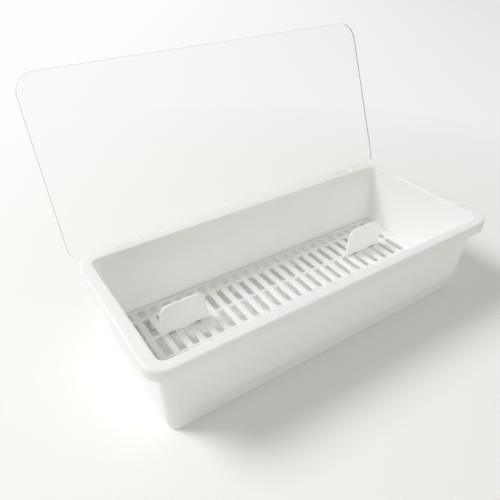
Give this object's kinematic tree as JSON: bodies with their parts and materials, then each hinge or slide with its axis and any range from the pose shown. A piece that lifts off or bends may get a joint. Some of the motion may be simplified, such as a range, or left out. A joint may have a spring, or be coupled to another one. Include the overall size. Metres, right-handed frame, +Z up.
{
  "type": "covered flatware tray",
  "caption": "Long rimmed tray with tapered walls and a clear lid hinged on its back rim, holding a slotted drainer plate with upright dividers for flatware.",
  "frame": {"origin": "middle of the case's flat base, on the surface that it stands on", "axes": "+X along the tray, +Y to the hinged back rim, +Z up; the lid is stored open, leaning back on its stop"},
  "size_m": [0.2822, 0.1742, 0.177],
  "materials": {
    "case_white": "satin",
    "lid_clear": "clear gloss",
    "insert_white": "satin"
  },
  "bodies": {
    "case": {"case": "case_white"},
    "lid": {"lid": "lid_clear"},
    "drainer": {"drainer_plate": "insert_white", "divider_left": "insert_white", "divider_right": "insert_white"}
  },
  "joints": [
    {"name": "lid_hinge", "type": "hinge", "parent": "case", "child": "lid", "pos_m": [0, 0.0605, 0.06285], "axis": [1, 0, 0], "range_deg": [0, 112]},
    {"name": "drainer_lift", "type": "slide", "parent": "case", "child": "drainer", "axis": [0, 0, 1], "range_m": [0, 0.025]}
  ]
}
